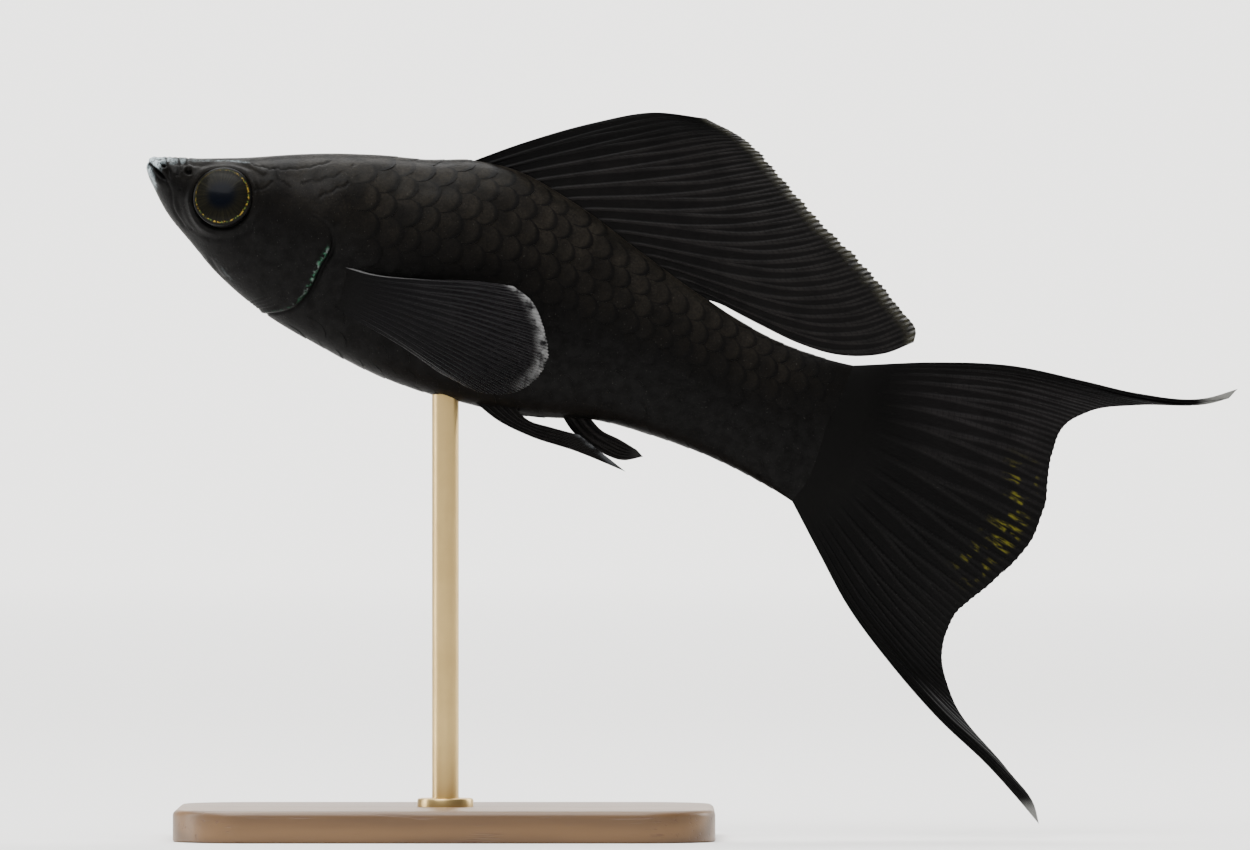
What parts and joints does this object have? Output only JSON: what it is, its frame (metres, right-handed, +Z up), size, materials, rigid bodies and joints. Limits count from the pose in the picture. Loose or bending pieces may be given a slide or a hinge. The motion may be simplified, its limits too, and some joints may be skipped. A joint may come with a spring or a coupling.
{
  "type": "lyretail black molly fish model",
  "caption": "Life-size still model of a black lyretail molly with a tall swept dorsal fin and a tail drawn out into streamers, held nose up by a rod on a flat base.",
  "frame": {"origin": "centre of the underside of the display base, straight under the axis of the rod", "axes": "+X from the fish's head towards its tail, -Y out of the fish's left side, +Z up. The fish points along -X with its nose raised."},
  "size_m": [0.0892, 0.03, 0.0593],
  "materials": {
    "head_skin": "moist satin skin",
    "torso_skin": "scaled satin skin",
    "tail_stem_skin": "scaled satin skin",
    "eye_case": "glossy wet eye",
    "dorsal_membrane": "thin satin membrane on raised rays",
    "tail_membrane": "thin satin membrane on raised rays",
    "streamer_membrane": "thin satin membrane on raised rays",
    "pectoral_membrane": "smoky half-clear membrane on raised rays",
    "pelvic_membrane": "thin satin membrane on raised rays",
    "anal_membrane": "thin satin membrane on raised rays",
    "oiled_wood": "oiled satin",
    "rod_brass": "brushed satin"
  },
  "bodies": {
    "root": {"head": "head_skin", "torso": "torso_skin", "tail_stem": "tail_stem_skin", "eye_left": "eye_case", "eye_right": "eye_case", "dorsal_fin": "dorsal_membrane", "tail_fin": "tail_membrane", "tail_streamer_upper": "streamer_membrane", "tail_streamer_lower": "streamer_membrane", "pectoral_fin_left": "pectoral_membrane", "pectoral_fin_right": "pectoral_membrane", "pelvic_fin_left": "pelvic_membrane", "pelvic_fin_right": "pelvic_membrane", "anal_fin": "anal_membrane", "stand_base": "oiled_wood", "stand_rod": "rod_brass"}
  },
  "joints": []
}
